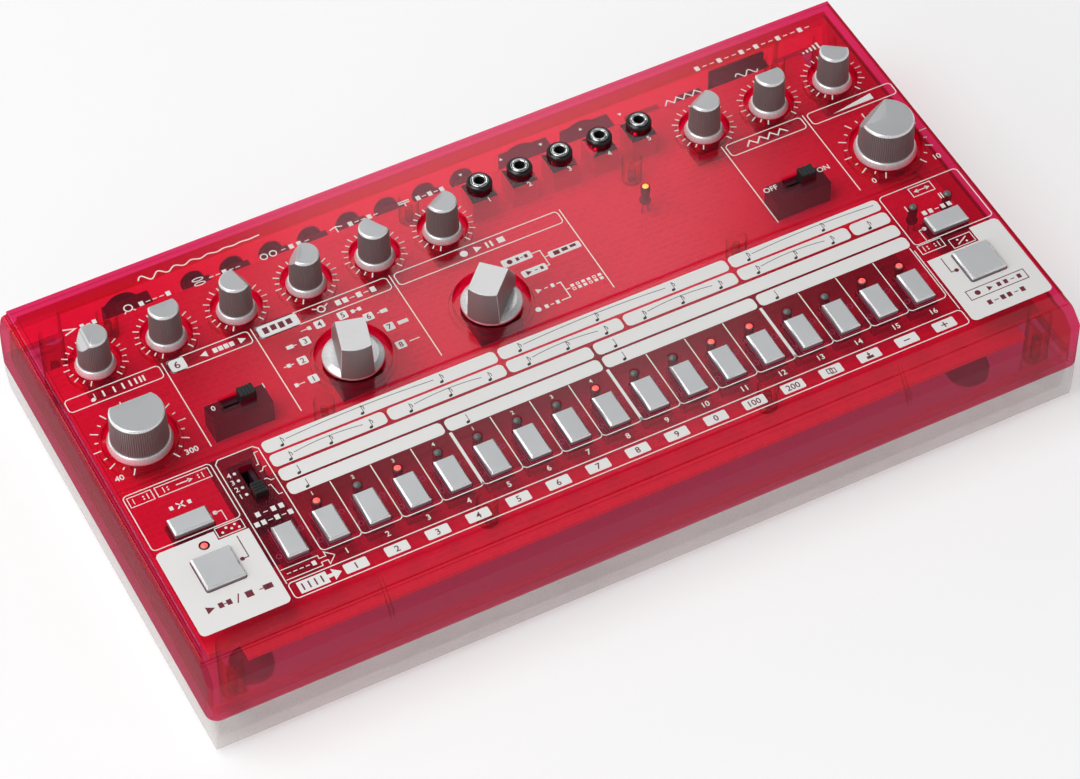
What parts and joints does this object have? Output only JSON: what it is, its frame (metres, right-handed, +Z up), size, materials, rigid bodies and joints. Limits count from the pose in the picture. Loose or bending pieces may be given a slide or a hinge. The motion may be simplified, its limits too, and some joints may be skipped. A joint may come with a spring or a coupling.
{
  "type": "drum machine",
  "caption": "Desk-top drum machine: see-through red deck with knobs, bar selectors, a row of step buttons, lamps and sockets on a frosted clear base.",
  "frame": {"origin": "middle of the footprint, on the surface that the rubber feet rest on", "axes": "+X to the right of the person playing it, +Y to the rear, where the rear sockets point, +Z up"},
  "size_m": [0.305, 0.165, 0.056],
  "materials": {
    "red_shell": "see-through red, polished",
    "clear_shell": "clear, frosted",
    "board": "green laminate with solder mask",
    "black_part": "black moulded plastic",
    "screw_steel": "zinc plated",
    "rubber": "matt",
    "metal_body": "stamped sheet steel",
    "lamp": "tinted epoxy",
    "nut": "black, ring nut",
    "black_cap": "black moulded plastic",
    "knob_silver": "satin, knurled sides, polished skirt",
    "button_silver": "silver painted, satin"
  },
  "bodies": {
    "case": {"top_case": "red_shell", "bottom_case": "clear_shell", "rear_panel": "red_shell", "front_board": "board", "rear_board": "board", "board_chips": "black_part", "case_screws": "screw_steel", "board_screws": "screw_steel", "rubber_feet": "rubber", "potentiometers": "metal_body", "rotary_switches": "metal_body", "push_switches": "black_part", "slide_switches": "metal_body", "lamps": "lamp", "deck_sockets": "black_part", "socket_nuts": "nut", "voice_sockets": "black_part", "mix_socket": "black_part", "five_pin_sockets": "black_part", "data_socket": "metal_body", "power_inlet": "black_part", "power_switch": "black_part"},
    "accent_knob": {"accent_knob": "knob_silver"},
    "bass_drum_knob": {"bass_drum_knob": "knob_silver"},
    "snare_drum_knob": {"snare_drum_knob": "knob_silver"},
    "tom_knob": {"tom_knob": "knob_silver"},
    "cymbal_knob": {"cymbal_knob": "knob_silver"},
    "hihat_knob": {"hihat_knob": "knob_silver"},
    "distortion_knob": {"distortion_knob": "knob_silver"},
    "tone_knob": {"tone_knob": "knob_silver"},
    "level_knob": {"level_knob": "knob_silver"},
    "tempo_knob": {"tempo_knob": "knob_silver"},
    "volume_knob": {"volume_knob": "knob_silver"},
    "instrument_selector": {"instrument_selector": "knob_silver"},
    "mode_selector": {"mode_selector": "knob_silver"},
    "step_button_01": {"step_button_01": "button_silver"},
    "step_button_02": {"step_button_02": "button_silver"},
    "step_button_03": {"step_button_03": "button_silver"},
    "step_button_04": {"step_button_04": "button_silver"},
    "step_button_05": {"step_button_05": "button_silver"},
    "step_button_06": {"step_button_06": "button_silver"},
    "step_button_07": {"step_button_07": "button_silver"},
    "step_button_08": {"step_button_08": "button_silver"},
    "step_button_09": {"step_button_09": "button_silver"},
    "step_button_10": {"step_button_10": "button_silver"},
    "step_button_11": {"step_button_11": "button_silver"},
    "step_button_12": {"step_button_12": "button_silver"},
    "step_button_13": {"step_button_13": "button_silver"},
    "step_button_14": {"step_button_14": "button_silver"},
    "step_button_15": {"step_button_15": "button_silver"},
    "step_button_16": {"step_button_16": "button_silver"},
    "function_button": {"function_button": "button_silver"},
    "clear_button": {"clear_button": "button_silver"},
    "start_stop_button": {"start_stop_button": "button_silver"},
    "group_button": {"group_button": "button_silver"},
    "write_button": {"write_button": "button_silver"},
    "sound_switch_cap": {"sound_switch_cap": "black_cap"},
    "distortion_switch_cap": {"distortion_switch_cap": "black_cap"},
    "scale_switch_cap": {"scale_switch_cap": "black_cap"},
    "power_rocker": {"power_rocker": "black_cap"}
  },
  "joints": [
    {"name": "accent_turn", "type": "hinge", "parent": "case", "child": "accent_knob", "pos_m": [-0.1329, 0.04395, 0.0436], "axis": [0, 0, 1], "range_deg": [-238, 62]},
    {"name": "bass_drum_turn", "type": "hinge", "parent": "case", "child": "bass_drum_knob", "pos_m": [-0.10863, 0.04395, 0.0436], "axis": [0, 0, 1], "range_deg": [-150, 150]},
    {"name": "snare_drum_turn", "type": "hinge", "parent": "case", "child": "snare_drum_knob", "pos_m": [-0.08436, 0.04395, 0.0436], "axis": [0, 0, 1], "range_deg": [-72, 228]},
    {"name": "tom_turn", "type": "hinge", "parent": "case", "child": "tom_knob", "pos_m": [-0.06009, 0.04395, 0.0436], "axis": [0, 0, 1], "range_deg": [-205, 95]},
    {"name": "cymbal_turn", "type": "hinge", "parent": "case", "child": "cymbal_knob", "pos_m": [-0.03582, 0.04395, 0.0436], "axis": [0, 0, 1], "range_deg": [-90, 210]},
    {"name": "hihat_turn", "type": "hinge", "parent": "case", "child": "hihat_knob", "pos_m": [-0.01155, 0.04395, 0.0436], "axis": [0, 0, 1], "range_deg": [-180, 120]},
    {"name": "distortion_turn", "type": "hinge", "parent": "case", "child": "distortion_knob", "pos_m": [0.08436, 0.04395, 0.0436], "axis": [0, 0, 1], "range_deg": [-182, 118]},
    {"name": "tone_turn", "type": "hinge", "parent": "case", "child": "tone_knob", "pos_m": [0.10863, 0.04395, 0.0436], "axis": [0, 0, 1], "range_deg": [-150, 150]},
    {"name": "level_turn", "type": "hinge", "parent": "case", "child": "level_knob", "pos_m": [0.1329, 0.04395, 0.0436], "axis": [0, 0, 1], "range_deg": [-115, 185]},
    {"name": "tempo_turn", "type": "hinge", "parent": "case", "child": "tempo_knob", "pos_m": [-0.1329, 0.0093, 0.0436], "axis": [0, 0, 1], "range_deg": [-150, 150]},
    {"name": "volume_turn", "type": "hinge", "parent": "case", "child": "volume_knob", "pos_m": [0.1329, 0.0093, 0.0436], "axis": [0, 0, 1], "range_deg": [-182, 118]},
    {"name": "instrument_turn", "type": "hinge", "parent": "case", "child": "instrument_selector", "pos_m": [-0.06009, 0.0093, 0.0436], "axis": [0, 0, 1], "range_deg": [-90, 120]},
    {"name": "mode_turn", "type": "hinge", "parent": "case", "child": "mode_selector", "pos_m": [-0.01155, 0.0093, 0.0436], "axis": [0, 0, 1], "range_deg": [-90, 0]},
    {"name": "step_01_press", "type": "slide", "parent": "case", "child": "step_button_01", "axis": [0, 0, -1], "range_m": [0, 0.0008], "stiffness_N_per_m": 200, "springref_m": -0.0005},
    {"name": "step_02_press", "type": "slide", "parent": "case", "child": "step_button_02", "axis": [0, 0, -1], "range_m": [0, 0.0008], "stiffness_N_per_m": 200, "springref_m": -0.0005},
    {"name": "step_03_press", "type": "slide", "parent": "case", "child": "step_button_03", "axis": [0, 0, -1], "range_m": [0, 0.0008], "stiffness_N_per_m": 200, "springref_m": -0.0005},
    {"name": "step_04_press", "type": "slide", "parent": "case", "child": "step_button_04", "axis": [0, 0, -1], "range_m": [0, 0.0008], "stiffness_N_per_m": 200, "springref_m": -0.0005},
    {"name": "step_05_press", "type": "slide", "parent": "case", "child": "step_button_05", "axis": [0, 0, -1], "range_m": [0, 0.0008], "stiffness_N_per_m": 200, "springref_m": -0.0005},
    {"name": "step_06_press", "type": "slide", "parent": "case", "child": "step_button_06", "axis": [0, 0, -1], "range_m": [0, 0.0008], "stiffness_N_per_m": 200, "springref_m": -0.0005},
    {"name": "step_07_press", "type": "slide", "parent": "case", "child": "step_button_07", "axis": [0, 0, -1], "range_m": [0, 0.0008], "stiffness_N_per_m": 200, "springref_m": -0.0005},
    {"name": "step_08_press", "type": "slide", "parent": "case", "child": "step_button_08", "axis": [0, 0, -1], "range_m": [0, 0.0008], "stiffness_N_per_m": 200, "springref_m": -0.0005},
    {"name": "step_09_press", "type": "slide", "parent": "case", "child": "step_button_09", "axis": [0, 0, -1], "range_m": [0, 0.0008], "stiffness_N_per_m": 200, "springref_m": -0.0005},
    {"name": "step_10_press", "type": "slide", "parent": "case", "child": "step_button_10", "axis": [0, 0, -1], "range_m": [0, 0.0008], "stiffness_N_per_m": 200, "springref_m": -0.0005},
    {"name": "step_11_press", "type": "slide", "parent": "case", "child": "step_button_11", "axis": [0, 0, -1], "range_m": [0, 0.0008], "stiffness_N_per_m": 200, "springref_m": -0.0005},
    {"name": "step_12_press", "type": "slide", "parent": "case", "child": "step_button_12", "axis": [0, 0, -1], "range_m": [0, 0.0008], "stiffness_N_per_m": 200, "springref_m": -0.0005},
    {"name": "step_13_press", "type": "slide", "parent": "case", "child": "step_button_13", "axis": [0, 0, -1], "range_m": [0, 0.0008], "stiffness_N_per_m": 200, "springref_m": -0.0005},
    {"name": "step_14_press", "type": "slide", "parent": "case", "child": "step_button_14", "axis": [0, 0, -1], "range_m": [0, 0.0008], "stiffness_N_per_m": 200, "springref_m": -0.0005},
    {"name": "step_15_press", "type": "slide", "parent": "case", "child": "step_button_15", "axis": [0, 0, -1], "range_m": [0, 0.0008], "stiffness_N_per_m": 200, "springref_m": -0.0005},
    {"name": "step_16_press", "type": "slide", "parent": "case", "child": "step_button_16", "axis": [0, 0, -1], "range_m": [0, 0.0008], "stiffness_N_per_m": 200, "springref_m": -0.0005},
    {"name": "function_press", "type": "slide", "parent": "case", "child": "function_button", "axis": [0, 0, -1], "range_m": [0, 0.0008], "stiffness_N_per_m": 200, "springref_m": -0.0005},
    {"name": "clear_press", "type": "slide", "parent": "case", "child": "clear_button", "axis": [0, 0, -1], "range_m": [0, 0.0008], "stiffness_N_per_m": 200, "springref_m": -0.0005},
    {"name": "start_stop_press", "type": "slide", "parent": "case", "child": "start_stop_button", "axis": [0, 0, -1], "range_m": [0, 0.0008], "stiffness_N_per_m": 200, "springref_m": -0.0005},
    {"name": "group_press", "type": "slide", "parent": "case", "child": "group_button", "axis": [0, 0, -1], "range_m": [0, 0.0008], "stiffness_N_per_m": 200, "springref_m": -0.0005},
    {"name": "write_press", "type": "slide", "parent": "case", "child": "write_button", "axis": [0, 0, -1], "range_m": [0, 0.0008], "stiffness_N_per_m": 200, "springref_m": -0.0005},
    {"name": "sound_switch_slide", "type": "slide", "parent": "case", "child": "sound_switch_cap", "axis": [1, 0, 0], "range_m": [-0.0057, 0]},
    {"name": "distortion_switch_slide", "type": "slide", "parent": "case", "child": "distortion_switch_cap", "axis": [1, 0, 0], "range_m": [-0.0057, 0]},
    {"name": "scale_switch_slide", "type": "slide", "parent": "case", "child": "scale_switch_cap", "axis": [0, 1, 0], "range_m": [0, 0.0085]},
    {"name": "power_rock", "type": "hinge", "parent": "case", "child": "power_rocker", "pos_m": [0.117, 0.0743, 0.019], "axis": [0, 0, 1], "range_deg": [-16, 0]}
  ]
}
